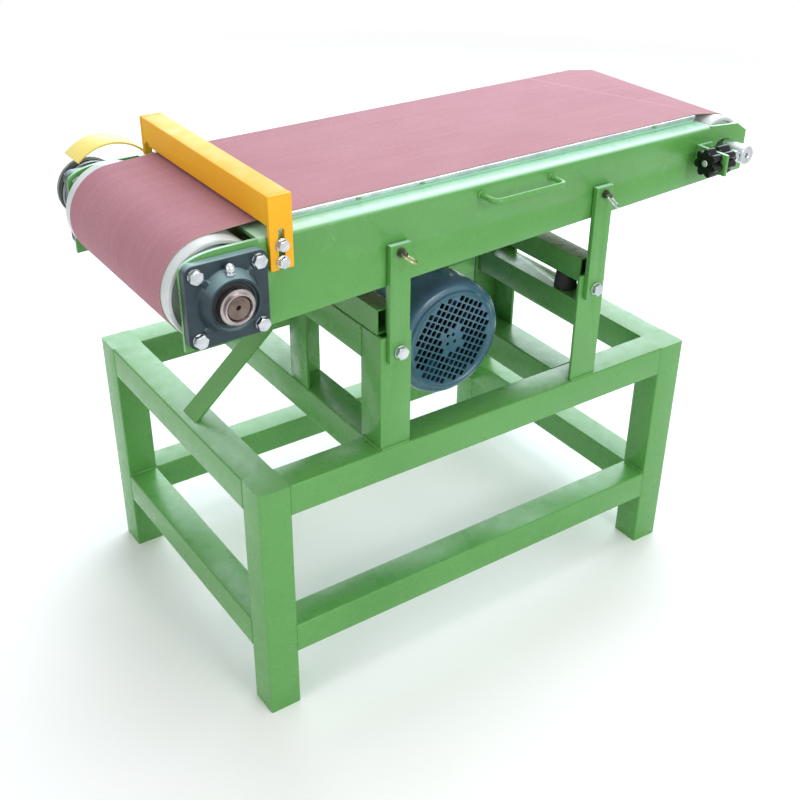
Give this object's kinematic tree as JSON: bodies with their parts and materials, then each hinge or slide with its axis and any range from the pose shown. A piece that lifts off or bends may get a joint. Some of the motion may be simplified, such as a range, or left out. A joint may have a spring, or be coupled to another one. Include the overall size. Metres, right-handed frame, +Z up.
{
  "type": "belt sander",
  "caption": "Bench belt sander on a welded tube frame: hinged head with drum, idler, platen, fence and hung motor.",
  "frame": {"origin": "on the floor plane, below the middle of the bounding box in length and depth", "axes": "+X along the machine from the drum to the idler, +Y from the handle side to the drive side, +Z up"},
  "size_m": [0.969, 0.595, 0.815],
  "materials": {
    "green_paint": "gloss",
    "yellow_paint": "gloss",
    "zinc": "satin",
    "cast_paint": "satin",
    "machined_steel": "satin",
    "cast_iron_bare": "satin",
    "rubber": "matte",
    "black_plastic": "gloss",
    "motor_paint": "gloss",
    "abrasive_cloth": "matte",
    "drum_metal": "satin"
  },
  "bodies": {
    "base": {"legs": "green_paint", "long_top_rails": "green_paint", "end_top_rails": "green_paint", "long_stretchers": "green_paint", "end_stretchers": "green_paint", "cross_members": "green_paint", "post_near_left": "green_paint", "post_near_right": "green_paint", "post_inner_left": "green_paint", "post_inner_right": "green_paint", "beam_left": "green_paint", "beam_right": "green_paint", "brace": "green_paint", "hinge_fork_left": "green_paint", "hinge_fork_right": "green_paint", "rubber_buffer": "rubber", "buffer_bolt": "zinc", "link_bolts": "zinc"},
    "link_left": {"link_left": "green_paint"},
    "link_right": {"link_right": "green_paint"},
    "head": {"wall_near": "green_paint", "wall_far": "green_paint", "head_tubes": "green_paint", "rail_left": "green_paint", "rail_right": "green_paint", "rail_stays": "green_paint", "cradle_bars": "green_paint", "motor_plate": "green_paint", "hinge_pins": "zinc", "platen": "machined_steel", "platen_packers": "green_paint", "abrasive_belt": "abrasive_cloth", "bearing_near": "cast_paint", "bearing_far": "cast_paint", "bearing_bolts": "zinc", "grease_nipples": "zinc", "handle": "green_paint", "adjuster_plates": "green_paint", "fence_bolts": "zinc", "pulley_guard": "yellow_paint", "motor_frame": "motor_paint", "motor_cowl": "motor_paint", "motor_box": "motor_paint", "motor_bolts": "zinc", "drive_belt": "rubber"},
    "pin_left": {"pin_left": "machined_steel"},
    "pin_right": {"pin_right": "machined_steel"},
    "ring_left": {"ring_left": "zinc"},
    "ring_right": {"ring_right": "zinc"},
    "drum": {"drum": "drum_metal", "drum_shaft": "machined_steel", "bearing_inserts": "machined_steel", "drum_pulley": "cast_iron_bare"},
    "idler_carriage": {"idler_shaft": "zinc", "tension_rods": "zinc"},
    "idler_roller": {"idler_roller": "drum_metal"},
    "knobs_near": {"knobs_near": "black_plastic"},
    "knobs_far": {"knobs_far": "black_plastic"},
    "fence": {"fence": "yellow_paint"},
    "motor_rotor": {"motor_rotor": "machined_steel"}
  },
  "joints": [
    {"name": "head_tilt", "type": "hinge", "parent": "base", "child": "head", "pos_m": [0.01125, 0.0325, 0.572], "axis": [-1, 0, 0], "range_deg": [0, 60]},
    {"name": "link_left_swing", "type": "hinge", "parent": "base", "child": "link_left", "pos_m": [-0.16775, -0.2425, 0.556], "axis": [0, 1, 0], "range_deg": [-80, 80]},
    {"name": "link_right_swing", "type": "hinge", "parent": "base", "child": "link_right", "pos_m": [0.18725, -0.2425, 0.556], "axis": [0, 1, 0], "range_deg": [-80, 80]},
    {"name": "pin_left_pull", "type": "slide", "parent": "head", "child": "pin_left", "axis": [0, -1, 0], "range_m": [0, 0.04]},
    {"name": "pin_right_pull", "type": "slide", "parent": "head", "child": "pin_right", "axis": [0, -1, 0], "range_m": [0, 0.04]},
    {"name": "ring_left_swing", "type": "hinge", "parent": "pin_left", "child": "ring_left", "pos_m": [-0.16875, -0.2555, 0.702], "axis": [0.866, 0, -0.5], "range_deg": [-78, 62]},
    {"name": "ring_right_swing", "type": "hinge", "parent": "pin_right", "child": "ring_right", "pos_m": [0.18625, -0.2555, 0.706], "axis": [0.7986, 0, -0.6018], "range_deg": [-90, 45]},
    {"name": "drum_spin", "type": "hinge", "parent": "head", "child": "drum", "pos_m": [-0.41725, -0.0625, 0.7028], "axis": [0, 1, 0], "continuous": true},
    {"name": "idler_tension", "type": "slide", "parent": "head", "child": "idler_carriage", "axis": [1, 0, 0], "range_m": [-0.0075, 0]},
    {"name": "idler_spin", "type": "hinge", "parent": "idler_carriage", "child": "idler_roller", "pos_m": [0.44025, -0.0625, 0.725], "axis": [0, 1, 0], "continuous": true},
    {"name": "motor_spin", "type": "hinge", "parent": "head", "child": "motor_rotor", "pos_m": [0.01125, 0.0325, 0.467], "axis": [0, 1, 0], "continuous": true},
    {"name": "near_knobs_turn", "type": "hinge", "parent": "head", "child": "knobs_near", "pos_m": [0.37625, -0.2725, 0.725], "axis": [1, 0, 0], "range_deg": [-1800, 0]},
    {"name": "far_knobs_turn", "type": "hinge", "parent": "head", "child": "knobs_far", "pos_m": [0.37625, 0.1475, 0.725], "axis": [1, 0, 0], "range_deg": [-1800, 0]},
    {"name": "fence_lift", "type": "slide", "parent": "head", "child": "fence", "axis": [0, 0, 1], "range_m": [0, 0.03]}
  ],
  "couplings": [
    {"joint": "idler_spin", "follows": "drum_spin", "ratio": 1.5251},
    {"joint": "motor_spin", "follows": "drum_spin", "ratio": 0.78641},
    {"joint": "near_knobs_turn", "follows": "idler_tension", "rad_per_m": 4188.8},
    {"joint": "far_knobs_turn", "follows": "idler_tension", "rad_per_m": 4188.8}
  ]
}
